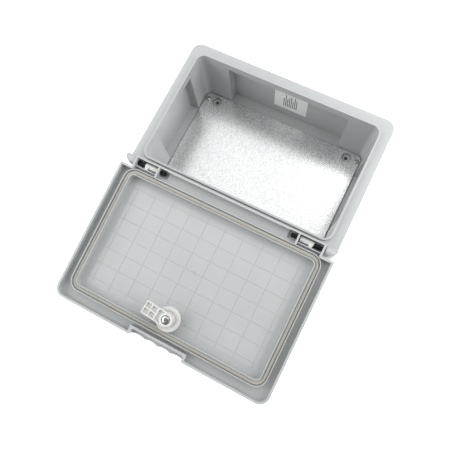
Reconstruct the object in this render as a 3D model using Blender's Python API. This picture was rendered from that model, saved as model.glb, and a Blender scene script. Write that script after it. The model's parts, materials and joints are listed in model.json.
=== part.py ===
"""Wall-mounted plastic disconnect box with a hinged lid, lying on its back with the lid swung open.

Millimetres throughout, turned into metres when a mesh is made. X runs along the hinge, Y from the
hinge side to the latch side, Z from the back of the case out through its mouth. The origin is the
middle of the back face.
"""

import math

import bmesh
import bpy
from mathutils import Matrix, Vector

MM = 0.001
GAP = 0.3
MERGED = 1e-7
EDGE_MATCH = 0.1
SHARP_ANGLE = 30
EMPTY_SIZE = 0.02

# Case
CASE_X, CASE_Y, CASE_Z = 280.0, 190.0, 112.8
CASE_RADIUS = 12.0
CASE_EDGE = 1.2
CASE_WALL, CASE_BACK = 3.5, 3.5
INNER_WALL = 2.5
MOUTH_X, MOUTH_Y, MOUTH_RADIUS = 250.6, 154.4, 9.8
MOUTH_SHIFT = 1.5
DRAFT = math.tan(math.radians(1.1))
LIP_HEIGHT, LIP_WALL = 4.0, 2.4
RIM_DEPTH = 7.0
FLANGE, HINGE_FLANGE = 3.0, 4.2
NICHE_END, NICHE_SIDE = 89.6, 169.0
NICHE_START = 10.0
LEDGE_Z = 25.0

# Mounting plate and what holds it
PLATE_THICK, PLATE_GAP, PLATE_RADIUS = 1.5, 1.0, 8.0
PLATE_HOLE = 2.0
POST_X, POST_Y, POST_RADIUS = 118.4, 64.5, 5.2
BOSS_X, BOSS_RADIUS, BOSS_HOLE, BOSS_TOP = 103.0, 6.2, 2.75, 24.0
ACCESS_RADIUS = 6.6
INSERT_RADIUS, INSERT_BORE, INSERT_LENGTH = 2.6, 1.6, 8.0
INSERT_CLEARANCE = 0.3
SCREW_HEAD, SCREW_HEAD_TALL, SCREW_SHANK = 3.6, 2.2, 1.3
SCREW_RIM, SCREW_CROWN, SCREW_CROWN_FALL, SCREW_FLAT = 1.2, 2.8, 0.2, 1.8
SCREW_TIP = 0.9
SCREW_CROSS_HALF, SCREW_CROSS_WIDE, SCREW_CROSS_DEEP = 2.0, 0.7, 1.2

# Hinge line, above the case's shoulder
HINGE_Y, HINGE_RISE = -89.0, 9.2
OPEN_ANGLE = 186.0
EAR_IN, EAR_OUT, EAR_RADIUS = 126.0, 139.4, 5.8
FOOT_INSET, CORNER_INSET = 0.05, 0.05
EAR_TALL = 30.0
PIN_RADIUS, PIN_CLEARANCE = 2.5, 0.3
PIN_IN, PIN_END, PIN_ROUND = 83.0, 136.0, 1.5
TROUGH_RADIUS = 10.8

# Lid, closed, measured from the hinge line: Y towards the latch, Z outwards
LID_BACK, LID_FRONT = -6.1, 186.0
LID_MIDDLE = 90.5
LID_OUTER, LID_PANEL, LID_LEDGE = 8.0, 5.0, 1.5
LID_RIB_TOP, LID_EDGE = -6.5, -8.2
LID_SKIRT, LID_ROUND = 2.7, 2.4
NOTCH_X, NOTCH_Y = 125.0, 8.6
RING_X, RING_Y, RING_RADIUS, RING_WIDTH, RING_RIB = 259.0, 162.8, 14.0, 7.8, 1.1
CHANNEL_FLOOR = 1.0
SEAL_GAP, SEAL_TOP = 0.3, -4.8
POCKET_IN, POCKET_OUT, POCKET_WALL = 80.0, 122.5, 1.2
POCKET_BACK, POCKET_FRONT = -4.1, 5.0
SLOT_BACK, SLOT_FRONT = -3.8, 3.2
OUTER_SLOT = (112.5, 121.5)
RIB_IN, RIB_OUT, RIB_SHORT = 91.2, 93.6, 0.6
POCKET_WALL_EDGE = -4.5
SLEEVE_RADIUS, SLEEVE_IN, SLEEVE_OUT, SLEEVE_FOOT = 3.6, 94.8, 111.5, 3.2
SLEEVE_FOOT_INSET, SLEEVE_CLEARANCE = 0.4, 0.2
HORN_START, HORN_END, HORN_Z = 5.0, 1.0, (-4.0, 1.0)
GRIP_HALF, GRIP_Y, GRIP_FLOOR, GRIP_CORNER = 34.5, 178.7, 4.5, 3.0
SCALLOPS, SCALLOP_RADIUS, SCALLOP_DEPTH = 4, 24.0, 1.6

# Cam lock
LOCK_Y = 150.0
ARM_TILT = 5.0
ARM_REACH, ARM_HALF = 29.5, 8.0
ARM_NEAR, ARM_FAR = -16.7, -21.2
ARM_WALL, ARM_WEB, ARM_DEPTH = 1.5, 1.5, 2.8
CELL_ONE, CELL_TWO, CELL_WIDE = (21.7, 28.0), (13.7, 20.2), (3.0, 11.8)
NUT_RADIUS, NUT_NEAR = 10.2, 2.0
DISC_RADIUS, DISC_NEAR, DISC_FAR = 14.7, -7.3, -11.0
STEP_RADIUS, STEP_DEEP = 10.4, 1.2
HUB_RADIUS = 8.2
CAM_CHAMFER, DISC_CHAMFER = 0.6, 1.0
ARM_SINK = 0.05
WELL_RADIUS, WELL_DEEP, CAM_BORE = 5.3, 3.4, 2.4
SHAFT_RADIUS, HEAD_RADIUS, HEAD_TALL = 7.0, 13.0, 3.4
HEAD_CHAMFER = 0.8
SEAT_RADIUS, SEAT_DEEP = 10.2, 1.4
KEY_HALF_LONG, KEY_HALF_WIDE, KEY_DEEP = 7.5, 1.2, 2.2
O_RING_TUBE, O_RING_RADIUS, O_RING_LIFT = 0.75, 8.6, 0.1
DRIVE_HALF, DRIVE_END = 4.0, -15.7
THREAD_RADIUS, THREAD_LONG = 2.0, 10.0
CAM_SCREW_HEAD, CAM_SCREW_TALL, CAM_SCREW_SHANK, CAM_SCREW_TURN = 4.8, 2.6, 1.6, 35.0
CAM_SCREW_FLAT, CAM_SCREW_SHOULDER, CAM_SCREW_LONG = 2.64, 4.22, 9.0
CAM_SCREW_CROWN, CAM_SCREW_RIM = 0.7, 1.6
CAM_CROSS_HALF, CAM_CROSS_WIDE, CAM_CROSS_DEEP = 2.6, 1.0, 1.4
WASHER_BORE, WASHER_RADIUS = 2.1, 4.9
WASHER_NEAR, WASHER_FAR = 0.8, 0.2

# Sticker
LABEL_X, LABEL_Z, LABEL_MID_X, LABEL_MID_Z = 49.0, 48.5, 2.5, 65.8
LABEL_THICK, LABEL_LIFT = 0.3, 0.1

# How finely round shapes are divided
ARC_STEPS = 6
ROUND_STEPS = 32
SMALL_STEPS = 20
CAM_STEPS = 24
O_RING_STEPS, O_RING_TUBE_STEPS = 28, 10
EDGE_STEPS = 3


# ---------------------------------------------------------------- materials

def material(name, colour, roughness, metallic=0.0):
    found = bpy.data.materials.get(name)
    if found:
        return found
    made = bpy.data.materials.new(name)
    made.use_nodes = True
    shader = made.node_tree.nodes["Principled BSDF"]
    shader.inputs["Base Color"].default_value = (*colour, 1.0)
    shader.inputs["Roughness"].default_value = roughness
    shader.inputs["Metallic"].default_value = metallic
    return made


def grey_plastic():
    return material("grey_plastic", (0.56, 0.57, 0.57), 0.42)


def white_nylon():
    return material("white_nylon", (0.80, 0.80, 0.78), 0.40)


def galvanised_steel():
    return material("galvanised_steel", (0.72, 0.74, 0.74), 0.32, 1.0)


def bright_steel():
    return material("bright_steel", (0.68, 0.68, 0.68), 0.25, 1.0)


def black_steel():
    return material("black_steel", (0.05, 0.05, 0.05), 0.40, 0.6)


def brass():
    return material("brass", (0.78, 0.58, 0.28), 0.30, 1.0)


def seal_foam():
    return material("seal_foam", (0.47, 0.46, 0.42), 0.85)


def black_rubber():
    return material("black_rubber", (0.03, 0.03, 0.03), 0.70)


def label_paper():
    return material("label_paper", (0.85, 0.85, 0.85), 0.55)


# ---------------------------------------------------------------- shapes

def made_object(name, mesh_data):
    mesh = bpy.data.meshes.new(name)
    bmesh.ops.recalc_face_normals(mesh_data, faces=mesh_data.faces)
    if mesh_data.calc_volume(signed=True) < 0:
        bmesh.ops.reverse_faces(mesh_data, faces=mesh_data.faces)
    mesh_data.to_mesh(mesh)
    mesh_data.free()
    made = bpy.data.objects.new(name, mesh)
    bpy.context.scene.collection.objects.link(made)
    return made


def rounded(size_x, size_y, radius, mid_y=0.0):
    """A rectangle's outline with round corners, anticlockwise, as (x, y) pairs."""
    points = []
    corners = ((1, 1, 0), (-1, 1, 90), (-1, -1, 180), (1, -1, 270))
    for side_x, side_y, start in corners:
        centre_x = side_x * (size_x / 2 - radius)
        centre_y = mid_y + side_y * (size_y / 2 - radius)
        for step in range(ARC_STEPS + 1):
            angle = math.radians(start + 90 * step / ARC_STEPS)
            points.append((centre_x + radius * math.cos(angle), centre_y + radius * math.sin(angle)))
    return points


def loft(name, lower, upper, low, high):
    """A solid between two outlines that have the same number of points, at the heights low and high."""
    shape = bmesh.new()
    rings = []
    for outline, height in ((lower, low), (upper, high)):
        rings.append([shape.verts.new((x * MM, y * MM, height * MM)) for x, y in outline])
    shape.faces.new(rings[0])
    shape.faces.new(rings[1])
    for index in range(len(lower)):
        following = (index + 1) % len(lower)
        shape.faces.new((rings[0][index], rings[0][following], rings[1][following], rings[1][index]))
    return made_object(name, shape)


def prism(name, outline, low, high):
    return loft(name, outline, outline, low, high)


def block(name, x_range, y_range, z_range):
    (left, right), (near, far) = x_range, y_range
    outline = [(left, near), (right, near), (right, far), (left, far)]
    return prism(name, outline, *z_range)


def rod(name, radius, start, end, steps=ROUND_STEPS):
    """A round bar from one point to another."""
    start, end = Vector(start) * MM, Vector(end) * MM
    shape = bmesh.new()
    bmesh.ops.create_cone(
        shape,
        cap_ends=True,
        segments=steps,
        radius1=radius * MM,
        radius2=radius * MM,
        depth=(end - start).length,
    )
    turn = (end - start).to_track_quat("Z", "Y").to_matrix().to_4x4()
    shape.transform(Matrix.Translation((start + end) / 2) @ turn)
    return made_object(name, shape)


def turned(name, profile, steps=ROUND_STEPS):
    """A solid of revolution about Z from a closed profile of (radius, height) pairs."""
    shape = bmesh.new()
    points = [shape.verts.new((radius * MM, 0.0, height * MM)) for radius, height in profile]
    edges = []
    for index, point in enumerate(points):
        following = points[(index + 1) % len(points)]
        if point.co.x > 0 or following.co.x > 0:
            edges.append(shape.edges.new((point, following)))
    bmesh.ops.spin(
        shape,
        geom=points + edges,
        cent=(0, 0, 0),
        axis=(0, 0, 1),
        angle=math.tau,
        steps=steps,
        use_merge=True,
    )
    bmesh.ops.remove_doubles(shape, verts=shape.verts, dist=MERGED)
    return made_object(name, shape)


def combine(target, tool, operation):
    """Joins the tool to the target or cuts it away, and removes the tool."""
    modifier = target.modifiers.new(operation, "BOOLEAN")
    modifier.operation = operation
    modifier.object = tool
    graph = bpy.context.evaluated_depsgraph_get()
    result = bpy.data.meshes.new_from_object(target.evaluated_get(graph))
    target.modifiers.clear()
    old = target.data
    target.data = result
    bpy.data.meshes.remove(old)
    bpy.data.objects.remove(tool)


def cut(target, *tools):
    for tool in tools:
        combine(target, tool, "DIFFERENCE")


def join(target, *tools):
    for tool in tools:
        combine(target, tool, "UNION")


def round_flat_edges(made, width, heights):
    """Rounds the outline of a prism at the given heights."""
    bevel = made.modifiers.new("rounded_edge", "BEVEL")
    bevel.width = width * MM
    bevel.segments = EDGE_STEPS
    bevel.limit_method = "WEIGHT"
    weights = made.data.attributes.new("bevel_weight_edge", "FLOAT", "EDGE")
    for edge in made.data.edges:
        ends = [made.data.vertices[index].co.z / MM for index in edge.vertices]
        on_edge = any(max(abs(end - height) for end in ends) < EDGE_MATCH for height in heights)
        weights.data[edge.index].value = float(on_edge)
    graph = bpy.context.evaluated_depsgraph_get()
    made.data = bpy.data.meshes.new_from_object(made.evaluated_get(graph))
    made.modifiers.clear()


def move(made, x=0.0, y=0.0, z=0.0):
    made.data.transform(Matrix.Translation((x * MM, y * MM, z * MM)))
    return made


def finish(made, name, look, parent=None, smooth=True):
    made.name = name
    made.data.name = name
    made.data.materials.clear()
    made.data.materials.append(look)
    if smooth:
        made.data.shade_smooth()
        made.data.set_sharp_from_angle(angle=math.radians(SHARP_ANGLE))
    if parent:
        made.parent = parent
    return made


def pivot(name, place, turn_x=0.0, parent=None):
    """An empty on a joint's axis."""
    made = bpy.data.objects.new(name, None)
    made.empty_display_size = EMPTY_SIZE
    made.location = [value * MM for value in place]
    made.rotation_euler.x = math.radians(turn_x)
    made.parent = parent
    bpy.context.scene.collection.objects.link(made)
    return made


# ---------------------------------------------------------------- case

def tub(name, low, high, wider=0.0):
    """The drafted inside of the case between two heights, or that shape made wider on every side."""
    outlines = []
    for height in (low, high):
        inset = (CASE_Z + LIP_HEIGHT - height) * DRAFT - wider
        size_x, size_y = MOUTH_X - 2 * inset, MOUTH_Y - 2 * inset
        outlines.append(rounded(size_x, size_y, MOUTH_RADIUS - inset, MOUTH_SHIFT))
    return loft(name, outlines[0], outlines[1], low, high)


def case_shell():
    case = prism("case", rounded(CASE_X, CASE_Y, CASE_RADIUS), 0, CASE_Z)
    round_flat_edges(case, CASE_EDGE, (0, CASE_Z))
    lip_x, lip_y = MOUTH_X + 2 * LIP_WALL, MOUTH_Y + 2 * LIP_WALL
    lip = rounded(lip_x, lip_y, MOUTH_RADIUS + LIP_WALL, MOUTH_SHIFT)
    join(case, prism("lip", lip, CASE_Z - 1, CASE_Z + LIP_HEIGHT))
    cut(case, tub("inside", CASE_BACK, CASE_Z + LIP_HEIGHT + 1))
    return case


def cut_niches(case):
    """Widens the inside between the corner pillars, under the rim, and hollows the rim from below."""
    end_x, side_y = CASE_X / 2 - CASE_WALL, CASE_Y / 2 - CASE_WALL
    end_range = (MOUTH_SHIFT - NICHE_END / 2, MOUTH_SHIFT + NICHE_END / 2)
    side_range = (-NICHE_SIDE / 2, NICHE_SIDE / 2)
    niche_z = (LEDGE_Z, CASE_Z - RIM_DEPTH)
    inner_x, inner_y = MOUTH_X / 2 - NICHE_START, MOUTH_Y / 2 - NICHE_START
    gutter_x = MOUTH_X / 2 + LIP_WALL
    gutter_z = (CASE_Z - RIM_DEPTH - 1, CASE_Z - FLANGE)
    hinge_gutter_z = (CASE_Z - RIM_DEPTH - 1, CASE_Z - HINGE_FLANGE)
    for side in (-1, 1):
        cut(case, block("niche", sorted((side * inner_x, side * end_x)), end_range, niche_z))
        cut(case, block("gutter", sorted((side * gutter_x, side * end_x)), end_range, gutter_z))
    far_gutter = MOUTH_SHIFT + MOUTH_Y / 2 + LIP_WALL
    near_gutter = MOUTH_SHIFT - MOUTH_Y / 2 - LIP_WALL
    cut(case, block("niche", side_range, (inner_y, side_y), niche_z))
    cut(case, block("niche", side_range, (-side_y, -inner_y), niche_z))
    cut(case, block("gutter", side_range, (far_gutter, side_y), gutter_z))
    cut(case, block("gutter", side_range, (-side_y, near_gutter), hinge_gutter_z))


def cut_back_cores(case):
    """Hollows the pillars and the ledge from the back, so that every wall has about the same thickness."""
    top = CASE_Z - RIM_DEPTH
    shelf = LEDGE_Z - INNER_WALL
    outside = rounded(CASE_X - 2 * CASE_WALL, CASE_Y - 2 * CASE_WALL, CASE_RADIUS - CASE_WALL)
    core = prism("core", outside, -1, top)
    cut(core, tub("core_inside", -2, top + 1, wider=INNER_WALL))
    keep_end, keep_side = NICHE_END / 2 + INNER_WALL, NICHE_SIDE / 2 + INNER_WALL
    end_keep = (MOUTH_SHIFT - keep_end, MOUTH_SHIFT + keep_end)
    cut(core, block("keep", (-CASE_X, CASE_X), end_keep, (shelf, top + 1)))
    cut(core, block("keep", (-keep_side, keep_side), (-CASE_Y, CASE_Y), (shelf, top + 1)))
    cut(case, core)


def corner_places(x, y):
    """The four places at the given distances from the middle of the mouth."""
    return [(side_x * x, MOUTH_SHIFT + side_y * y) for side_y in (1, -1) for side_x in (-1, 1)]


def add_posts(case):
    """Posts for the plate screws, and bosses round the wall-mounting holes."""
    insert_hole = INSERT_RADIUS + INSERT_CLEARANCE
    insert_floor = LEDGE_Z - INSERT_LENGTH - 2
    for x, y in corner_places(POST_X, POST_Y):
        join(case, rod("post", POST_RADIUS, (x, y, CASE_BACK - 1), (x, y, LEDGE_Z)))
        cut(case, rod("post_hole", insert_hole, (x, y, insert_floor), (x, y, LEDGE_Z + 1)))
    for x, y in corner_places(BOSS_X, POST_Y):
        join(case, rod("boss", BOSS_RADIUS, (x, y, CASE_BACK - 1), (x, y, BOSS_TOP)))
        cut(case, rod("boss_hole", BOSS_HOLE, (x, y, -1), (x, y, BOSS_TOP + 1)))


def ear(side):
    """A hinge lug: a round top about the hinge line on a foot that stands on the shoulder."""
    axis_z = CASE_Z + HINGE_RISE
    edges = sorted((side * EAR_IN, side * EAR_OUT))
    lug = rod("ear", EAR_RADIUS, (edges[0], HINGE_Y, axis_z), (edges[1], HINGE_Y, axis_z))
    foot_half = EAR_RADIUS - FOOT_INSET
    foot_x = (edges[0] + FOOT_INSET, edges[1] - FOOT_INSET)
    foot_y = (HINGE_Y - foot_half, HINGE_Y + foot_half)
    join(lug, block("foot", foot_x, foot_y, (CASE_Z - 1, axis_z)))
    outline = rounded(CASE_X - 2 * CORNER_INSET, CASE_Y - 2 * CORNER_INSET, CASE_RADIUS)
    corner = prism("corner", outline, CASE_Z - 2, CASE_Z + EAR_TALL)
    combine(lug, corner, "INTERSECT")
    return lug


def base_case():
    case = case_shell()
    cut_niches(case)
    cut_back_cores(case)
    add_posts(case)
    axis_z = CASE_Z + HINGE_RISE
    trough_x = EAR_IN - GAP
    cut(case, rod("trough", TROUGH_RADIUS, (-trough_x, HINGE_Y, axis_z), (trough_x, HINGE_Y, axis_z)))
    for side in (-1, 1):
        join(case, ear(side))
    bore = PIN_RADIUS + PIN_CLEARANCE
    cut(case, rod("bore", bore, (-CASE_X, HINGE_Y, axis_z), (CASE_X, HINGE_Y, axis_z), SMALL_STEPS))
    return finish(case, "base_case", grey_plastic())


def mounting_plate():
    low = LEDGE_Z + GAP
    inset = (CASE_Z + LIP_HEIGHT - low) * DRAFT + PLATE_GAP
    outline = rounded(MOUTH_X - 2 * inset, MOUTH_Y - 2 * inset, PLATE_RADIUS, MOUTH_SHIFT)
    plate = prism("plate", outline, low, low + PLATE_THICK)
    below, above = low - 1, low + PLATE_THICK + 1
    for x, y in corner_places(BOSS_X, POST_Y):
        cut(plate, rod("access", ACCESS_RADIUS, (x, y, below), (x, y, above)))
    for x, y in corner_places(POST_X, POST_Y):
        cut(plate, rod("hole", PLATE_HOLE, (x, y, below), (x, y, above), SMALL_STEPS))
    return finish(plate, "mounting_plate", galvanised_steel())


def cross_recess(screw, half, width, z_range):
    """Cuts a Phillips cross into a screw head."""
    cut(screw, block("slot", (-half, half), (-width / 2, width / 2), z_range))
    cut(screw, block("slot", (-width / 2, width / 2), (-half, half), z_range))


def plate_screw(index, place):
    head_low = LEDGE_Z + 2 * GAP + PLATE_THICK
    head_top = head_low + SCREW_HEAD_TALL
    tip = LEDGE_Z - INSERT_LENGTH
    profile = [
        (0, tip),
        (SCREW_TIP, tip),
        (SCREW_SHANK, tip + 1),
        (SCREW_SHANK, head_low),
        (SCREW_HEAD, head_low),
        (SCREW_HEAD, head_low + SCREW_RIM),
        (SCREW_CROWN, head_top - SCREW_CROWN_FALL),
        (SCREW_FLAT, head_top),
        (0, head_top),
    ]
    screw = turned("screw", profile, SMALL_STEPS)
    cross_z = (head_top - SCREW_CROSS_DEEP, head_top + 1)
    cross_recess(screw, SCREW_CROSS_HALF, SCREW_CROSS_WIDE, cross_z)
    move(screw, *place)
    return finish(screw, f"plate_screw_{index}", bright_steel())


def plate_insert(index, place):
    low = LEDGE_Z - INSERT_LENGTH - GAP
    high = LEDGE_Z - GAP
    profile = [(INSERT_BORE, low), (INSERT_RADIUS, low), (INSERT_RADIUS, high), (INSERT_BORE, high)]
    insert = turned("insert", profile, SMALL_STEPS)
    move(insert, *place)
    return finish(insert, f"threaded_insert_{index}", brass())


def rating_label():
    """A blank sticker on the back of the niche opposite the hinge."""
    wall = CASE_Y / 2 - CASE_WALL - LABEL_LIFT
    x_range = (LABEL_MID_X - LABEL_X / 2, LABEL_MID_X + LABEL_X / 2)
    z_range = (LABEL_MID_Z - LABEL_Z / 2, LABEL_MID_Z + LABEL_Z / 2)
    sticker = block("sticker", x_range, (wall - LABEL_THICK, wall), z_range)
    return finish(sticker, "rating_label", label_paper(), smooth=False)


# ---------------------------------------------------------------- lid, closed, about the hinge line

def lid_outline(inset=0.0, radius=CASE_RADIUS):
    """The lid's outline, notched round the hinge ears, or that outline moved inwards."""
    half = CASE_X / 2 - inset
    notch_x, notch_y = NOTCH_X - inset, NOTCH_Y + inset
    back, front = LID_BACK + inset, LID_FRONT - inset
    points = [(notch_x, back), (notch_x, notch_y), (half, notch_y)]
    for side, start in ((1, 0), (-1, 90)):
        for step in range(ARC_STEPS + 1):
            angle = math.radians(start + 90 * step / ARC_STEPS)
            x = side * (half - radius) + radius * math.cos(angle)
            points.append((x, front - radius + radius * math.sin(angle)))
    points += [(-half, notch_y), (-notch_x, notch_y), (-notch_x, back)]
    return points


def mirrored(side, near, far):
    """The x range between two distances from the middle, on the given side."""
    return sorted((side * near, side * far))


def ring(name, inset, low, high):
    """A filled shape of the sealing ring's outline, moved inwards by the inset."""
    outline = rounded(RING_X - 2 * inset, RING_Y - 2 * inset, RING_RADIUS - inset, LID_MIDDLE)
    return prism(name, outline, low, high)


def cut_hinge_pockets(lid):
    """Opens the lid beside the hinge ears for the pins, and leaves a cross rib that carries each pin."""
    below, above = LID_EDGE - 1, LID_OUTER + 1
    across = (POCKET_BACK, POCKET_FRONT)
    slot_across = (SLOT_BACK, SLOT_FRONT)
    for side in (-1, 1):
        cut(lid, block("pocket", mirrored(side, RIB_OUT, POCKET_OUT), across, (below, LID_PANEL)))
        cut(lid, block("pocket", mirrored(side, POCKET_IN, RIB_IN), across, (below, LID_PANEL - 1)))
        cut(lid, block("slot", mirrored(side, *OUTER_SLOT), slot_across, (LID_PANEL - 1, above)))


def add_hinge_ribs(lid):
    bottom = LID_LEDGE + 0.5
    ring_side = LID_MIDDLE - RING_Y / 2 + 0.5
    wall_y = (POCKET_FRONT, POCKET_FRONT + POCKET_WALL)
    for side in (-1, 1):
        rib = mirrored(side, RIB_IN, RIB_OUT)
        wall = mirrored(side, RIB_OUT - 1, POCKET_OUT + 0.5)
        join(lid, block("rib", rib, (POCKET_BACK - 0.5, ring_side), (LID_EDGE + RIB_SHORT, bottom)))
        join(lid, block("wall", wall, wall_y, (POCKET_WALL_EDGE, bottom)))


def cut_grip(lid):
    """Steps the front skirt inwards and scallops the skin in front of it, as a finger grip."""
    wall_half = GRIP_HALF + LID_SKIRT
    wall_y = GRIP_Y - LID_SKIRT
    front, below = LID_FRONT + 5, LID_EDGE - 1
    join(lid, block("step", (-wall_half, wall_half), (wall_y, LID_FRONT - 1), (LID_EDGE, LID_LEDGE + 1)))
    size_y = 2 * (front - GRIP_Y)
    outline = rounded(2 * GRIP_HALF, size_y, GRIP_CORNER, front)
    cut(lid, prism("grip", outline, below, GRIP_FLOOR))
    pitch = 2 * GRIP_HALF / SCALLOPS
    y = LID_FRONT + SCALLOP_RADIUS - SCALLOP_DEPTH
    for index in range(SCALLOPS):
        x = -GRIP_HALF + pitch * (index + 0.5)
        start, end = (x, y, GRIP_FLOOR - 1), (x, y, LID_OUTER + 1)
        cut(lid, rod("scallop", SCALLOP_RADIUS, start, end, 2 * ROUND_STEPS))


def lid_shell(hinge):
    below = LID_EDGE - 1
    lid = prism("lid", lid_outline(), LID_EDGE, LID_OUTER)
    round_flat_edges(lid, LID_ROUND, (LID_OUTER,))
    moat = prism("moat", lid_outline(LID_SKIRT, CASE_RADIUS - LID_SKIRT), below, LID_LEDGE)
    cut(moat, ring("keep", 0, below - 1, LID_LEDGE + 1))
    cut(lid, moat)
    cut(lid, ring("rib_level", -0.5, below, LID_RIB_TOP))
    channel = ring("channel", RING_RIB, below, CHANNEL_FLOOR)
    cut(channel, ring("keep", RING_WIDTH - RING_RIB, below - 1, CHANNEL_FLOOR + 1))
    cut(lid, channel)
    cut(lid, ring("dish", RING_WIDTH, below, LID_PANEL))
    cut_hinge_pockets(lid)
    add_hinge_ribs(lid)
    cut_grip(lid)
    bore = PIN_RADIUS + PIN_CLEARANCE
    for side in (-1, 1):
        start, end = (side * (RIB_IN - 2), 0, 0), (side * (NOTCH_X + 1), 0, 0)
        cut(lid, rod("pin_hole", bore, start, end, SMALL_STEPS))
    hole = SHAFT_RADIUS + PIN_CLEARANCE
    cut(lid, rod("lock_hole", hole, (0, LOCK_Y, LID_PANEL - 1), (0, LOCK_Y, LID_OUTER + 1)))
    return finish(lid, "lid_shell", grey_plastic(), hinge)


def lid_gasket(hinge):
    spare = RING_RIB + SEAL_GAP
    high = CHANNEL_FLOOR - GAP
    gasket = ring("gasket", spare, SEAL_TOP, high)
    cut(gasket, ring("hollow", RING_WIDTH - spare, SEAL_TOP - 1, high + 1))
    return finish(gasket, "lid_gasket", seal_foam(), hinge)


def hinge_pin(side, name, hinge):
    """A blackened pin with a rounded inner end, from the small pocket through to the case's ear."""
    length = PIN_END - PIN_IN
    profile = [(0, 0)]
    for step in range(ARC_STEPS):
        angle = math.radians(90 * step / (ARC_STEPS - 1))
        radius = PIN_RADIUS - PIN_ROUND + PIN_ROUND * math.sin(angle)
        profile.append((radius, PIN_ROUND - PIN_ROUND * math.cos(angle)))
    profile += [(PIN_RADIUS, length), (0, length)]
    pin = turned("pin", profile, SMALL_STEPS)
    pin.data.transform(Matrix.Rotation(math.radians(side * 90), 4, "Y"))
    move(pin, side * PIN_IN)
    return finish(pin, name, black_steel(), hinge)


def hinge_sleeve(side, name, hinge):
    """The white moulded sleeve that locks a pin in the lid: a tube on a flat foot."""
    start, end = side * SLEEVE_IN, side * SLEEVE_OUT
    sleeve = rod("sleeve", SLEEVE_RADIUS, (start, 0, 0), (end, 0, 0), CAM_STEPS)
    foot_x = mirrored(side, SLEEVE_IN + SLEEVE_FOOT_INSET, SLEEVE_OUT - SLEEVE_FOOT_INSET)
    join(sleeve, block("foot", foot_x, (-SLEEVE_FOOT, SLEEVE_FOOT), (0, LID_PANEL - GAP)))
    horn_x = mirrored(side, SLEEVE_OUT - HORN_START, SLEEVE_OUT - HORN_END)
    join(sleeve, block("horn", horn_x, (0, POCKET_FRONT - GAP), HORN_Z))
    bore = rod("bore", PIN_RADIUS + SLEEVE_CLEARANCE, (start - side, 0, 0), (end + side, 0, 0), SMALL_STEPS)
    cut(sleeve, bore)
    return finish(sleeve, name, white_nylon(), hinge)


# ---------------------------------------------------------------- cam lock, about its own turning axis

def lock_rotor(lock):
    """The turning plug: an outer head with a key slot, a shaft through the lid and a square drive."""
    head_low = LID_OUTER + GAP
    top = head_low + HEAD_TALL
    profile = [
        (0, LID_PANEL - 2),
        (SHAFT_RADIUS, LID_PANEL - 2),
        (SHAFT_RADIUS, head_low + SEAT_DEEP),
        (SEAT_RADIUS, head_low + SEAT_DEEP),
        (SEAT_RADIUS, head_low),
        (HEAD_RADIUS, head_low),
        (HEAD_RADIUS, top - HEAD_CHAMFER),
        (HEAD_RADIUS - HEAD_CHAMFER, top),
        (0, top),
    ]
    rotor = turned("rotor", profile)
    drive = (-DRIVE_HALF, DRIVE_HALF)
    join(rotor, block("drive", drive, drive, (DRIVE_END, LID_PANEL - 1)))
    key_x, key_y = (-KEY_HALF_LONG, KEY_HALF_LONG), (-KEY_HALF_WIDE, KEY_HALF_WIDE)
    cut(rotor, block("key_slot", key_x, key_y, (top - KEY_DEEP, top + 1)))
    thread_end = (0, 0, DRIVE_END + THREAD_LONG)
    cut(rotor, rod("thread", THREAD_RADIUS, (0, 0, DRIVE_END - 1), thread_end, SMALL_STEPS))
    rotor.data.transform(Matrix.Rotation(math.radians(ARM_TILT), 4, "Z"))
    return finish(rotor, "lock_rotor", grey_plastic(), lock)


def lock_o_ring(lock):
    middle = LID_OUTER + O_RING_LIFT + O_RING_TUBE
    profile = []
    for step in range(O_RING_TUBE_STEPS):
        angle = math.tau * step / O_RING_TUBE_STEPS
        radius = O_RING_RADIUS + O_RING_TUBE * math.cos(angle)
        profile.append((radius, middle + O_RING_TUBE * math.sin(angle)))
    return finish(turned("o_ring", profile, O_RING_STEPS), "lock_o_ring", black_rubber(), lock)


def arm_pockets():
    """The cam arm's hollows: two rows of two, and a wide one beside the hub. (x range, y range) pairs."""
    side = ARM_HALF - ARM_WALL
    rows = ((-side, -ARM_WEB / 2), (ARM_WEB / 2, side))
    found = []
    for start, end in (CELL_ONE, CELL_TWO):
        for row in rows:
            found.append(((-end, -start), row))
    found.append(((-CELL_WIDE[1], -CELL_WIDE[0]), (-side, side)))
    return found


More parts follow.
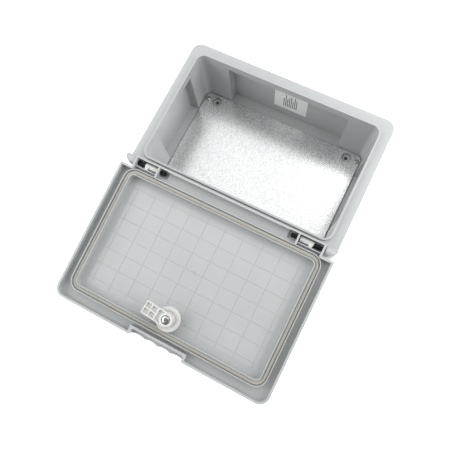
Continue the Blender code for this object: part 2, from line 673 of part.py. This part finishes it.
def lock_cam(lock):
    """The white cam: a nut on the panel, a broad disc, a hub, and an arm that hooks under the case's rim."""
    profile = [
        (0, NUT_NEAR),
        (NUT_RADIUS, NUT_NEAR),
        (NUT_RADIUS, DISC_NEAR),
        (DISC_RADIUS - CAM_CHAMFER, DISC_NEAR),
        (DISC_RADIUS, DISC_NEAR - CAM_CHAMFER),
        (DISC_RADIUS, DISC_FAR + DISC_CHAMFER),
        (DISC_RADIUS - DISC_CHAMFER, DISC_FAR),
        (STEP_RADIUS, DISC_FAR),
        (STEP_RADIUS, DISC_FAR + STEP_DEEP),
        (HUB_RADIUS, DISC_FAR + STEP_DEEP),
        (HUB_RADIUS, ARM_FAR + CAM_CHAMFER),
        (HUB_RADIUS - CAM_CHAMFER, ARM_FAR),
        (0, ARM_FAR),
    ]
    arm = block("arm", (-ARM_REACH, 0.0), (-ARM_HALF, ARM_HALF), (ARM_FAR + ARM_SINK, ARM_NEAR))
    for x_range, y_range in arm_pockets():
        cut(arm, block("pocket", x_range, y_range, (ARM_FAR - 1, ARM_FAR + ARM_DEPTH)))
    cam = turned("cam", profile)
    join(cam, arm)
    cut(cam, rod("screw_well", WELL_RADIUS, (0, 0, ARM_FAR - 1), (0, 0, ARM_FAR + WELL_DEEP)))
    drive = (-DRIVE_HALF - GAP, DRIVE_HALF + GAP)
    cut(cam, block("drive_hole", drive, drive, (DRIVE_END - GAP, NUT_NEAR + 1)))
    cut(cam, rod("screw_hole", CAM_BORE, (0, 0, ARM_FAR - 1), (0, 0, DRIVE_END + 1), SMALL_STEPS))
    cam.data.transform(Matrix.Rotation(math.radians(ARM_TILT), 4, "Z"))
    return finish(cam, "lock_cam", white_nylon(), lock)


def cam_screw(lock):
    seat = ARM_FAR + WELL_DEEP - 1.0
    head = seat - CAM_SCREW_TALL
    profile = [
        (0, head),
        (CAM_SCREW_FLAT, head),
        (CAM_SCREW_SHOULDER, head + CAM_SCREW_CROWN),
        (CAM_SCREW_HEAD, head + CAM_SCREW_RIM),
        (CAM_SCREW_HEAD, seat),
        (CAM_SCREW_SHANK, seat),
        (CAM_SCREW_SHANK, seat + CAM_SCREW_LONG),
        (0, seat + CAM_SCREW_LONG),
    ]
    screw = turned("cam_screw", profile, CAM_STEPS)
    cross_recess(screw, CAM_CROSS_HALF, CAM_CROSS_WIDE, (head - 1, head + CAM_CROSS_DEEP))
    screw.data.transform(Matrix.Rotation(math.radians(CAM_SCREW_TURN), 4, "Z"))
    return finish(screw, "cam_screw", bright_steel(), lock)


def cam_washer(lock):
    floor = ARM_FAR + WELL_DEEP
    low, high = floor - WASHER_NEAR, floor - WASHER_FAR
    profile = [(WASHER_BORE, low), (WASHER_RADIUS, low), (WASHER_RADIUS, high), (WASHER_BORE, high)]
    return finish(turned("washer", profile, CAM_STEPS), "cam_washer", bright_steel(), lock)


# ---------------------------------------------------------------- assembly

def clear_scene():
    for existing in list(bpy.data.objects):
        bpy.data.objects.remove(existing)


def main():
    clear_scene()
    base_case()
    mounting_plate()
    for index, place in enumerate(corner_places(POST_X, POST_Y), start=1):
        plate_screw(index, place)
        plate_insert(index, place)
    rating_label()
    hinge = pivot("lid_hinge", (0, HINGE_Y, CASE_Z + HINGE_RISE), OPEN_ANGLE)
    lid_shell(hinge)
    lid_gasket(hinge)
    for side, word in ((-1, "left"), (1, "right")):
        hinge_pin(side, f"hinge_pin_{word}", hinge)
        hinge_sleeve(side, f"hinge_sleeve_{word}", hinge)
    lock = pivot("lock_turn", (0, LOCK_Y, 0), parent=hinge)
    lock_rotor(lock)
    lock_o_ring(lock)
    lock_cam(lock)
    cam_washer(lock)
    cam_screw(lock)


main()
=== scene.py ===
"""The looks of a hinged plastic disconnect box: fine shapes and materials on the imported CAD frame.

Sizes are in millimetres and angles in degrees, unless a name or a comment says otherwise. Lid pieces are
made in the closed lid's own coordinates, with X along the hinge, Y from the hinge line towards the latch and
Z outwards, and are then swung to where the open lid lies.
"""
import json
import math

import bmesh
import bpy
from mathutils import Euler, Matrix, Vector


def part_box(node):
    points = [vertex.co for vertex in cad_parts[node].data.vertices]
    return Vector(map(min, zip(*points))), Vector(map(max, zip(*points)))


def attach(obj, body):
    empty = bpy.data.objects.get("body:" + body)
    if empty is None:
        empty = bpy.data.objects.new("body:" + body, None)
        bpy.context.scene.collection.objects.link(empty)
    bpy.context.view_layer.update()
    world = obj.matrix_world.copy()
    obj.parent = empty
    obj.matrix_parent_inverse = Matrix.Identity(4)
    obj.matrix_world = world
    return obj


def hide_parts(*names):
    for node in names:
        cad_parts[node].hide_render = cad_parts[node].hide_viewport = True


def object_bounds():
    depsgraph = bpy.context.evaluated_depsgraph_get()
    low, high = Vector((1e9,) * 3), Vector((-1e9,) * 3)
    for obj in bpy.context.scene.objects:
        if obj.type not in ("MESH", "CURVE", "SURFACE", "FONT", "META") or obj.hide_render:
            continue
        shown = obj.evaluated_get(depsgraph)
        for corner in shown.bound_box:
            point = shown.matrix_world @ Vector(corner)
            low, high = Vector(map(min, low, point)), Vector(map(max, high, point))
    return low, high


MM = 0.001

# Joins flatter than FLAT_ANGLE are cleared, then edges sharper than EDGE_ANGLE are rounded
EDGE_SOFT = {"base_case": 0.4, "lid_shell": 0.35}
EDGE_SOFT_SMALL = 0.2
EDGE_SEGMENTS = 2
EDGE_ANGLE = 30
FLAT_ANGLE = 0.5
WELD_METRES = 0.00001

# Height of the lid's inner panel above the hinge line
LID_PANEL = 5.0

# Moulded grid on the panel: cell sizes and counts, then half a groove's width at its mouth and at its floor
GRID_PITCH = (24.0, 20.0)
GRID_CELLS = (9, 6)
GROOVE_MOUTH = 0.30
GROOVE_FLOOR = 0.16

# The skin that holds the grid: its thickness, how far it runs past the grid, the width of its sloping
# border, and the sliver that keeps its faces off the panel's
SKIN = 0.3
SKIN_BORDER = 9.0
SKIN_SLOPE = 4.0
LIFT = 0.02

# Round opening in the skin for the lock: its radius, how far its cutter runs either side of the panel's
# face, and the sides of the cutter
LOCK_CLEAR = 11.0
LOCK_CUT = 2
LOCK_SEGMENTS = 48

# Gate mark: radius of each ring and its height off the skin, from the outside inwards
GATE_PROFILE = ((1.9, -0.1), (1.8, 0.4), (1.5, 0.6), (1.1, 0.6), (0.9, 0.25), (0.3, 0.2))
GATE_SEGMENTS = 32
GATE_CREASE = 60

# Foamed seal
SEAL_WIDE = 5.0
SEAL_CORNER = 12.6
SEAL_CROWN = 1.2
SEAL_ARC_STEPS = 8
SEAL_CORNER_STEPS = 10
SEAL_CREASE = 50

# Materials: TINTS are the two colours that a ramp runs between, CLOUD is the size of its lumps, GRAIN and
# CELLS are a size and how much finer detail there is, ROUGHNESS is a range, and RELIEF is a depth and a
# strength. A span is the part of a source over which its ramp runs
HALF_SPAN = (0.3, 0.7)
FULL_SPAN = (0.0, 1.0)

PLASTIC_TINTS = ((0.405, 0.418, 0.419), (0.423, 0.436, 0.436))
PLASTIC_CLOUD = 40.0
PLASTIC_GRAIN = (0.9, 5.0)
PLASTIC_ROUGHNESS = (0.28, 0.42)
PLASTIC_RELIEF = (0.03, 0.35)

# Zinc coat: spangles to a millimetre, the stretch of the rolling streaks, and the share of each in the tint
SPANGLE = 1.5
STREAK = (0.9, 0.14, 1.0)
STREAK_GRAIN = (1.0, 4.0)
SPANGLE_SHARE = 0.45
STREAK_SHARE = 0.6
ZINC_TINTS = ((0.58, 0.59, 0.595), (0.86, 0.865, 0.87))
ZINC_ROUGHNESS = (0.20, 0.34)
ZINC_METALLIC = 0.8
ZINC_GRAIN = (1.2, 6.0)
ZINC_RELIEF = (0.09, 0.8)

# Plain metals: dark tint, light tint, range of roughness
METAL_GRAIN = (0.8, 4.0)
BRIGHT_STEEL = ((0.40, 0.40, 0.40), (0.56, 0.56, 0.55), (0.14, 0.26))
BLACK_STEEL = ((0.020, 0.020, 0.021), (0.040, 0.040, 0.041), (0.35, 0.55))
BRASS = ((0.68, 0.48, 0.20), (0.80, 0.60, 0.30), (0.25, 0.38))

# White mouldings: GLOW is how much light enters the skin, and how deep
NYLON_TINTS = ((0.56, 0.565, 0.55), (0.62, 0.625, 0.61))
NYLON_CLOUD = 7.0
NYLON_GRAIN = (0.6, 4.0)
NYLON_ROUGHNESS = (0.32, 0.48)
NYLON_RELIEF = (0.02, 0.3)
NYLON_GLOW_SHARE = 0.08
NYLON_GLOW_DEPTH = 1.5

# Foam: pores, and stripes to a millimetre with how much they waver, and the share of each in the tint
SEAL_TINTS = ((0.26, 0.257, 0.232), (0.43, 0.425, 0.39))
SEAL_CELLS = (0.7, 5.0)
SEAL_STRIPES = 0.22
SEAL_STRIPE_WAVER = 1.0
SEAL_CELL_SHARE = 0.65
SEAL_STRIPE_SHARE = 0.35
SEAL_ROUGHNESS = 0.9
SEAL_RELIEF = (0.2, 0.6)

RUBBER_TINTS = ((0.018, 0.018, 0.018), (0.035, 0.035, 0.035))
RUBBER_GRAIN = (0.6, 4.0)
RUBBER_ROUGHNESS = (0.6, 0.8)

# Sticker: the film's colour, then the print's
FILM_TINTS = ((0.87, 0.875, 0.87), (0.07, 0.07, 0.07))
FILM_GRAIN = (4.0, 2.0)
FILM_ROUGHNESS = (0.34, 0.38)
FILM_METALLIC = 0.12

# Bars of print: their pitch, the share of it that a bar fills, half the width of the block of bars, how far
# the bars run below and above the sticker's middle, how much their ends vary, and how far the wave that
# varies them turns from one bar to the next
BAR_PITCH = 2.7
BAR_SHARE = 0.42
BARS_HALF = 11.0
BARS_BELOW = 16.0
BARS_ABOVE = 8.5
BAR_VARIES = 6.0
BAR_RADIANS = 2.4

# Camera: its place in metres
CAMERA_PLACE = (0.09686, -0.19957, 0.62845)
CAMERA_TURN = (12.962, 4.335, 27.066)
CAMERA_LENS = 35.52
CAMERA_SENSOR = 36.0
CAMERA_NEAR_METRES = 0.01

# Softboxes: azimuth, elevation, power in watts, then size and distance in metres
SOFTBOXES = {
    "left": (180, 35, 12.0, 1.2, 1.6),
    "left_near": (225, 35, 10.0, 1.2, 1.6),
    "right": (0, 35, 10.5, 1.2, 1.6),
    "right_far": (48, 45, 5.4, 0.75, 1.0),
    "overhead": (116, 69, 3.3, 1.0, 1.05),
}
LIGHTS_AIM_METRES = (0, -0.08, 0.08)

# Room: its light at the horizon and overhead, and the heights between which the one turns into the other
HORIZON_LIGHT = 0.9
WORLD_LIGHT = 0.28
HORIZON_SPAN = (0.05, 0.45)

# Floor
FLOOR_HALF_METRES = 30.0
FLOOR_SQUARES = 4
FLOOR_TINTS = ((0.91, 0.91, 0.91), (0.93, 0.93, 0.93))
FLOOR_CLOUD = 300.0
FLOOR_ROUGHNESS = 0.8
FLOOR_GLOW = 0.42


# ---------------------------------------------------------------- node helpers

def new_material(name):
    made = bpy.data.materials.new(name)
    made.use_nodes = True
    nodes = made.node_tree.nodes
    return nodes, made.node_tree.links, nodes["Principled BSDF"], made


def coordinates(nodes, links):
    """Object coordinates in millimetres."""
    source = nodes.new("ShaderNodeTexCoord")
    mapping = nodes.new("ShaderNodeMapping")
    mapping.inputs["Scale"].default_value = [1 / MM] * 3
    links.new(source.outputs["Object"], mapping.inputs["Vector"])
    return mapping.outputs["Vector"]


def noise(nodes, links, where, size, detail=3.0):
    """Noise whose lumps are about size millimetres across."""
    made = nodes.new("ShaderNodeTexNoise")
    made.inputs["Scale"].default_value = 1.0 / size
    made.inputs["Detail"].default_value = detail
    links.new(where, made.inputs["Vector"])
    return made.outputs["Fac"]


def ramp(nodes, links, source, low, high, span=HALF_SPAN):
    """A value or colour that goes from low to high as the source crosses the span."""
    made = nodes.new("ShaderNodeValToRGB")
    for stop, position, value in zip(made.color_ramp.elements, span, (low, high)):
        stop.position = position
        stop.color = (*value, 1) if isinstance(value, tuple) else (value, value, value, 1)
    links.new(source, made.inputs["Fac"])
    return made.outputs["Color"]


def bump(nodes, links, shader, source, depth, strength):
    """Adds relief of the given depth in millimetres to the shader's normal."""
    made = nodes.new("ShaderNodeBump")
    made.inputs["Strength"].default_value = strength
    made.inputs["Distance"].default_value = depth * MM
    links.new(source, made.inputs["Height"])
    links.new(made.outputs["Normal"], shader.inputs["Normal"])


def calculate(nodes, links, operation, *values):
    """A Math node on sockets or numbers."""
    made = nodes.new("ShaderNodeMath")
    made.operation = operation
    for socket, value in zip(made.inputs, values):
        if isinstance(value, (int, float)):
            socket.default_value = value
        else:
            links.new(value, socket)
    return made.outputs["Value"]


def weighed(nodes, links, first, first_share, second, second_share):
    """The sum of two sources, each times its share."""
    return calculate(nodes, links, "ADD",
                     calculate(nodes, links, "MULTIPLY", first, first_share),
                     calculate(nodes, links, "MULTIPLY", second, second_share))


# ---------------------------------------------------------------- materials

def grey_plastic():
    """Light grey ABS: a faint cloud of colour, and the fine satin texture of the mould."""
    nodes, links, shader, made = new_material("grey_plastic")
    where = coordinates(nodes, links)
    cloud = noise(nodes, links, where, PLASTIC_CLOUD)
    links.new(ramp(nodes, links, cloud, *PLASTIC_TINTS), shader.inputs["Base Color"])
    grain = noise(nodes, links, where, *PLASTIC_GRAIN)
    links.new(ramp(nodes, links, grain, *PLASTIC_ROUGHNESS), shader.inputs["Roughness"])
    bump(nodes, links, shader, grain, *PLASTIC_RELIEF)
    return made


def galvanised_steel():
    """Zinc-coated sheet: small spangle in colour and gloss, rolling streaks, and a grainy relief."""
    nodes, links, shader, made = new_material("galvanised_steel")
    where = coordinates(nodes, links)
    spangle = nodes.new("ShaderNodeTexVoronoi")
    spangle.inputs["Scale"].default_value = SPANGLE
    links.new(where, spangle.inputs["Vector"])
    parts = nodes.new("ShaderNodeSeparateColor")
    links.new(spangle.outputs["Color"], parts.inputs["Color"])
    stretch = nodes.new("ShaderNodeMapping")
    stretch.inputs["Scale"].default_value = STREAK
    links.new(where, stretch.inputs["Vector"])
    streaks = noise(nodes, links, stretch.outputs["Vector"], *STREAK_GRAIN)
    mixed = weighed(nodes, links, parts.outputs["Red"], SPANGLE_SHARE, streaks, STREAK_SHARE)
    links.new(ramp(nodes, links, mixed, *ZINC_TINTS), shader.inputs["Base Color"])
    gloss = ramp(nodes, links, parts.outputs["Green"], *ZINC_ROUGHNESS, FULL_SPAN)
    links.new(gloss, shader.inputs["Roughness"])
    shader.inputs["Metallic"].default_value = ZINC_METALLIC
    bump(nodes, links, shader, noise(nodes, links, where, *ZINC_GRAIN), *ZINC_RELIEF)
    return made


def metal(name, dark, bright, roughness):
    """A bare or plated metal with a fine uneven finish."""
    nodes, links, shader, made = new_material(name)
    where = coordinates(nodes, links)
    shader.inputs["Metallic"].default_value = 1.0
    grain = noise(nodes, links, where, *METAL_GRAIN)
    links.new(ramp(nodes, links, grain, dark, bright), shader.inputs["Base Color"])
    links.new(ramp(nodes, links, grain, *roughness), shader.inputs["Roughness"])
    return made


def white_nylon():
    """White moulding that lets a little light into its skin."""
    nodes, links, shader, made = new_material("white_nylon")
    where = coordinates(nodes, links)
    cloud = noise(nodes, links, where, NYLON_CLOUD)
    links.new(ramp(nodes, links, cloud, *NYLON_TINTS), shader.inputs["Base Color"])
    grain = noise(nodes, links, where, *NYLON_GRAIN)
    links.new(ramp(nodes, links, grain, *NYLON_ROUGHNESS), shader.inputs["Roughness"])
    shader.inputs["Subsurface Weight"].default_value = NYLON_GLOW_SHARE
    shader.inputs["Subsurface Scale"].default_value = NYLON_GLOW_DEPTH * MM
    bump(nodes, links, shader, grain, *NYLON_RELIEF)
    return made


def seal_foam():
    """Foamed-in-place seal: open-pored, beige-grey and dull, with faint slanting stripes."""
    nodes, links, shader, made = new_material("seal_foam")
    where = coordinates(nodes, links)
    cells = noise(nodes, links, where, *SEAL_CELLS)
    stripes = nodes.new("ShaderNodeTexWave")
    stripes.bands_direction = "DIAGONAL"
    stripes.inputs["Scale"].default_value = SEAL_STRIPES
    stripes.inputs["Distortion"].default_value = SEAL_STRIPE_WAVER
    links.new(where, stripes.inputs["Vector"])
    mixed = weighed(nodes, links, cells, SEAL_CELL_SHARE, stripes.outputs["Fac"], SEAL_STRIPE_SHARE)
    links.new(ramp(nodes, links, mixed, *SEAL_TINTS), shader.inputs["Base Color"])
    shader.inputs["Roughness"].default_value = SEAL_ROUGHNESS
    bump(nodes, links, shader, cells, *SEAL_RELIEF)
    return made


def black_rubber():
    nodes, links, shader, made = new_material("black_rubber")
    grain = noise(nodes, links, coordinates(nodes, links), *RUBBER_GRAIN)
    links.new(ramp(nodes, links, grain, *RUBBER_TINTS), shader.inputs["Base Color"])
    links.new(ramp(nodes, links, grain, *RUBBER_ROUGHNESS), shader.inputs["Roughness"])
    return made


def bars(nodes, links, where, middle):
    """One on the bars and nought off them. They stand side by side along X, each with its own top."""
    parts = nodes.new("ShaderNodeSeparateXYZ")
    links.new(where, parts.inputs["Vector"])
    along, up = parts.outputs["X"], parts.outputs["Z"]
    row = calculate(nodes, links, "DIVIDE", along, BAR_PITCH)
    on_bar = calculate(nodes, links, "LESS_THAN", calculate(nodes, links, "FRACT", row), BAR_SHARE)
    turn = calculate(nodes, links, "MULTIPLY", calculate(nodes, links, "FLOOR", row), BAR_RADIANS)
    top = calculate(nodes, links, "MULTIPLY_ADD", calculate(nodes, links, "SINE", turn), BAR_VARIES,
                    middle.z + BARS_ABOVE)
    ink = on_bar
    for operation, place, limit in (
        ("GREATER_THAN", along, middle.x - BARS_HALF),
        ("LESS_THAN", along, middle.x + BARS_HALF),
        ("GREATER_THAN", up, middle.z - BARS_BELOW),
        ("LESS_THAN", up, top),
    ):
        ink = calculate(nodes, links, "MULTIPLY", ink, calculate(nodes, links, operation, place, limit))
    return ink


def label_film(box):
    """A silvery white sticker with a block of plain grey bars where print would be, running up the wall."""
    nodes, links, shader, made = new_material("label_film")
    where = coordinates(nodes, links)
    low, high = box
    ink = bars(nodes, links, where, (low + high) / 2 / MM)
    links.new(ramp(nodes, links, ink, *FILM_TINTS, FULL_SPAN), shader.inputs["Base Color"])
    grain = noise(nodes, links, where, *FILM_GRAIN)
    links.new(ramp(nodes, links, grain, *FILM_ROUGHNESS), shader.inputs["Roughness"])
    shader.inputs["Metallic"].default_value = FILM_METALLIC
    return made


# ---------------------------------------------------------------- shapes

def new_object(name, shape):
    """An object from the shape, with its faces turned outwards."""
    mesh = bpy.data.meshes.new(name)
    shape.normal_update()
    bmesh.ops.recalc_face_normals(shape, faces=shape.faces)
    shape.to_mesh(mesh)
    shape.free()
    made = bpy.data.objects.new(name, mesh)
    bpy.context.scene.collection.objects.link(made)
    return made


def add_modifier(made, kind, **settings):
    modifier = made.modifiers.new(kind.lower(), kind)
    for name, value in settings.items():
        setattr(modifier, name, value)


def soften(made, width):
    """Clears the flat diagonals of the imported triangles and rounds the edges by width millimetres."""
    add_modifier(made, "WELD", merge_threshold=WELD_METRES)
    add_modifier(made, "DECIMATE", decimate_type="DISSOLVE", angle_limit=math.radians(FLAT_ANGLE))
    add_modifier(made, "BEVEL", width=width * MM, segments=EDGE_SEGMENTS, limit_method="ANGLE",
                 angle_limit=math.radians(EDGE_ANGLE))
    add_modifier(made, "WEIGHTED_NORMAL", keep_sharp=True)
    made.data.shade_smooth()


def crease(made, angle):
    """Smooth shading, apart from edges sharper than the angle."""
    made.data.shade_smooth()
    made.data.set_sharp_from_angle(angle=math.radians(angle))


def apply_modifiers(made):
    graph = bpy.context.evaluated_depsgraph_get()
    mesh = bpy.data.meshes.new_from_object(made.evaluated_get(graph))
    made.modifiers.clear()
    made.data = mesh


def rounded_ring(half_x, half_y, radius, steps):
    """Points anticlockwise round a rectangle with round corners."""
    points = []
    for turn, (side_x, side_y) in enumerate(((1, 1), (-1, 1), (-1, -1), (1, -1))):
        for step in range(steps + 1):
            angle = math.radians(90 * (turn + step / steps))
            points.append((side_x * (half_x - radius) + radius * math.cos(angle),
                           side_y * (half_y - radius) + radius * math.sin(angle)))
    return points


def join_rings(shape, first, second):
    """Faces between two closed rings that have as many points as each other."""
    for index in range(len(first)):
        after = (index + 1) % len(first)
        shape.faces.new((first[index], first[after], second[after], second[index]))


def round_cutter(radius, centre, z_range):
    """A cylinder along Z."""
    shape = bmesh.new()
    low, high = z_range
    bmesh.ops.create_cone(shape, cap_ends=True, segments=LOCK_SEGMENTS, radius1=radius * MM,
                          radius2=radius * MM, depth=(high - low) * MM)
    shape.transform(Matrix.Translation(Vector((centre[0], centre[1], (low + high) / 2)) * MM))
    return new_object("cutter", shape)


def dress(made, body, slot, look, *replaced):
    """Gives a new piece its material and its body, and hides the CAD nodes that it stands for. The slot is not
    used.
    """
    made.data.materials.clear()
    made.data.materials.append(look)
    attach(made, body)
    if replaced:
        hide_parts(*replaced)


# ---------------------------------------------------------------- where the lid's pieces lie

def joint_named(name):
    return next(joint for joint in frame["joints"] if joint["name"] == name)


def lid_place():
    """The matrix from the closed lid's coordinates to the open lid."""
    hinge = joint_named("lid_hinge")
    open_angle = math.radians(-hinge["range_deg"][0])
    return Matrix.Translation(hinge["pos_m"]) @ Matrix.Rotation(open_angle, 4, "X")


def lid_box(place, node):
    """A lid node's box in the closed lid's coordinates."""
    back = place.inverted()
    points = [back @ vertex.co for vertex in frame["nodes"][node].data.vertices]
    low = Vector([min(point[axis] for point in points) / MM for axis in range(3)])
    high = Vector([max(point[axis] for point in points) / MM for axis in range(3)])
    return low, high


def panel_middle(place):
    """The Y of the panel's middle, which is the seal's too."""
    low, high = lid_box(place, "lid_gasket")
    return (low.y + high.y) / 2


def lock_y(place):
    """The Y of the lock's axis."""
    return (place.inverted() @ Vector(joint_named("lock_turn")["pos_m"])).y / MM


# ---------------------------------------------------------------- pieces

def grid_marks(pitch, cells):
    """(place, height) across the skin's face: a sloping border at both ends and a groove at every line."""
    top = LID_PANEL - SKIN
    half = pitch * cells / 2
    marks = [(-half - SKIN_BORDER, LID_PANEL), (-half - SKIN_BORDER + SKIN_SLOPE, top)]
    for line in range(cells + 1):
        at = line * pitch - half
        marks += [(at - GROOVE_MOUTH, top), (at - GROOVE_FLOOR, LID_PANEL),
                  (at + GROOVE_FLOOR, LID_PANEL), (at + GROOVE_MOUTH, top)]
    return marks + [(half + SKIN_BORDER - SKIN_SLOPE, top), (half + SKIN_BORDER, LID_PANEL)]


def grid_skin(middle):
    """The closed skin with the grooves in its face, and its back just inside the panel."""
    columns, lines = (grid_marks(pitch, cells) for pitch, cells in zip(GRID_PITCH, GRID_CELLS))
    shape = bmesh.new()
    rows = []
    for y, y_height in lines:
        rows.append([shape.verts.new(Vector((x, y + middle, max(x_height, y_height) - LIFT)) * MM)
                     for x, x_height in columns])
    for row, following in zip(rows, rows[1:]):
        for index in range(len(row) - 1):
            shape.faces.new((row[index], following[index], following[index + 1], row[index + 1]))
    back = bmesh.ops.extrude_face_region(shape, geom=list(shape.faces))
    for point in back["geom"]:
        if isinstance(point, bmesh.types.BMVert):
            point.co.z = (LID_PANEL + LIFT) * MM
    return shape


def panel_grid(place, look):
    """A thin skin on the lid's inner panel with the moulded grid, open round the lock."""
    shape = grid_skin(panel_middle(place))
    shape.transform(place)
    made = new_object("panel_grid", shape)
    cutter = round_cutter(LOCK_CLEAR, (0, lock_y(place)), (LID_PANEL - LOCK_CUT, LID_PANEL + LOCK_CUT))
    cutter.data.transform(place)
    add_modifier(made, "BOOLEAN", operation="DIFFERENCE", object=cutter)
    apply_modifiers(made)
    bpy.data.objects.remove(cutter)
    dress(made, "lid", "grey_plastic", look)


def gate_mark(place, look):
    """The small round scar that the mould's gate leaves in the middle of the panel."""
    shape = bmesh.new()
    rings = []
    for radius, height in GATE_PROFILE:
        ring = []
        for step in range(GATE_SEGMENTS):
            angle = math.tau * step / GATE_SEGMENTS
            place_mm = Vector((radius * math.cos(angle), radius * math.sin(angle), -height))
            ring.append(shape.verts.new(place_mm * MM))
        rings.append(ring)
    for ring, following in zip(rings, rings[1:]):
        join_rings(shape, ring, following)
    shape.faces.new(rings[0])
    shape.faces.new(rings[-1])
    shape.transform(place @ Matrix.Translation(Vector((0, panel_middle(place), LID_PANEL - SKIN)) * MM))
    made = new_object("lid_gate_mark", shape)
    crease(made, GATE_CREASE)
    dress(made, "lid", "grey_plastic", look)


def seal_profile(low, high):
    """(inset, height) round the seal's section: up one side, over the crown and down the other."""
    shoulder = low + SEAL_CROWN
    half = SEAL_WIDE / 2
    profile = [(0.0, high), (0.0, shoulder)]
    for step in range(1, SEAL_ARC_STEPS):
        angle = math.pi * step / SEAL_ARC_STEPS
        profile.append((half - half * math.cos(angle), shoulder - SEAL_CROWN * math.sin(angle)))
    return profile + [(SEAL_WIDE, shoulder), (SEAL_WIDE, high)]


def foam_seal(place, look):
    """The foamed seal as a crowned bead round the channel."""
    low, high = lid_box(place, "lid_gasket")
    middle = (low.y + high.y) / 2
    half_x, half_y = high.x, (high.y - low.y) / 2
    shape = bmesh.new()
    loops = []
    for inset, height in seal_profile(low.z, high.z):
        points = rounded_ring(half_x - inset, half_y - inset, SEAL_CORNER - inset, SEAL_CORNER_STEPS)
        loops.append([shape.verts.new((x * MM, (y + middle) * MM, height * MM)) for x, y in points])
    for loop, following in zip(loops, loops[1:] + loops[:1]):
        join_rings(shape, loop, following)
    shape.transform(place)
    made = new_object("foam_seal", shape)
    crease(made, SEAL_CREASE)
    dress(made, "lid", "seal", look, "lid_gasket")


# ---------------------------------------------------------------- studio

def studio(floor_z):
    """A wide pale floor that glows a little."""
    shape = bmesh.new()
    bmesh.ops.create_grid(shape, x_segments=FLOOR_SQUARES, y_segments=FLOOR_SQUARES, size=FLOOR_HALF_METRES)
    shape.transform(Matrix.Translation((0, 0, floor_z)))
    floor = new_object("floor", shape)
    nodes, links, shader, made = new_material("floor")
    cloud = noise(nodes, links, coordinates(nodes, links), FLOOR_CLOUD)
    links.new(ramp(nodes, links, cloud, *FLOOR_TINTS), shader.inputs["Base Color"])
    shader.inputs["Roughness"].default_value = FLOOR_ROUGHNESS
    shader.inputs["Emission Color"].default_value = (1, 1, 1, 1)
    shader.inputs["Emission Strength"].default_value = FLOOR_GLOW
    floor.data.materials.append(made)


def softbox(name, azimuth, elevation, power, size, distance, aim):
    """A square light that the camera doesn't see, turned to the aim."""
    data = bpy.data.lights.new(name, "AREA")
    data.shape = "SQUARE"
    data.size = size
    data.energy = power
    made = bpy.data.objects.new(name, data)
    across, up = math.radians(azimuth), math.radians(elevation)
    away = Vector((math.cos(across) * math.cos(up), math.sin(across) * math.cos(up), math.sin(up)))
    made.location = aim + away * distance
    made.visible_camera = False
    made.rotation_euler = (-away).to_track_quat("-Z", "Y").to_euler()
    bpy.context.scene.collection.objects.link(made)


def surroundings():
    """A pale room, brightest along the horizon."""
    world = bpy.data.worlds.new("studio")
    world.use_nodes = True
    nodes, links = world.node_tree.nodes, world.node_tree.links
    source = nodes.new("ShaderNodeTexCoord")
    parts = nodes.new("ShaderNodeSeparateXYZ")
    links.new(source.outputs["Generated"], parts.inputs["Vector"])
    glow = ramp(nodes, links, parts.outputs["Z"], HORIZON_LIGHT, WORLD_LIGHT, HORIZON_SPAN)
    links.new(glow, nodes["Background"].inputs["Color"])
    bpy.context.scene.world = world


def lights():
    aim = Vector(LIGHTS_AIM_METRES)
    for name, settings in SOFTBOXES.items():
        softbox(name, *settings, aim)


def camera():
    data = bpy.data.cameras.new("camera")
    data.lens = CAMERA_LENS
    data.sensor_width = CAMERA_SENSOR
    data.clip_start = CAMERA_NEAR_METRES
    made = bpy.data.objects.new("camera", data)
    made.location = CAMERA_PLACE
    made.rotation_euler = Euler([math.radians(value) for value in CAMERA_TURN], "XYZ")
    bpy.context.scene.collection.objects.link(made)
    bpy.context.scene.camera = made


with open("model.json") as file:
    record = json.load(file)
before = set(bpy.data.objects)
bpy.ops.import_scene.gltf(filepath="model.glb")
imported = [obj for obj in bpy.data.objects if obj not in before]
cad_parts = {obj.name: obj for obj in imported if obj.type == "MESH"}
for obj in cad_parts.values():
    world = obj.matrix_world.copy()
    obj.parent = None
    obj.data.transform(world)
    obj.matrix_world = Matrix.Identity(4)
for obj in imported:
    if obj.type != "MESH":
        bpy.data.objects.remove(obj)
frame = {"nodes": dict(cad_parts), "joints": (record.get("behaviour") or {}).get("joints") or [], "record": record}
cad_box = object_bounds()
looks = {
    "grey_plastic": grey_plastic(),
    "plate_zinc": galvanised_steel(),
    "steel": metal("bright_steel", *BRIGHT_STEEL),
    "black_steel": metal("black_steel", *BLACK_STEEL),
    "brass": metal("brass", *BRASS),
    "white_nylon": white_nylon(),
    "seal": seal_foam(),
    "rubber": black_rubber(),
    "label": label_film(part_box("rating_label")),
}
for part in frame["record"]["subparts"]:
    node = frame["nodes"][part["node"]]
    node.data.materials.clear()
    node.data.materials.append(looks[part["material_slot"]])
    if part["node"] != "lid_gasket":
        soften(node, EDGE_SOFT.get(part["node"], EDGE_SOFT_SMALL))
open_lid = lid_place()
panel_grid(open_lid, looks["grey_plastic"])
gate_mark(open_lid, looks["grey_plastic"])
foam_seal(open_lid, looks["seal"])
camera()
surroundings()
lights()
studio(min(corner[2] for corner in cad_box))
bpy.context.scene.view_settings.view_transform = "Standard"
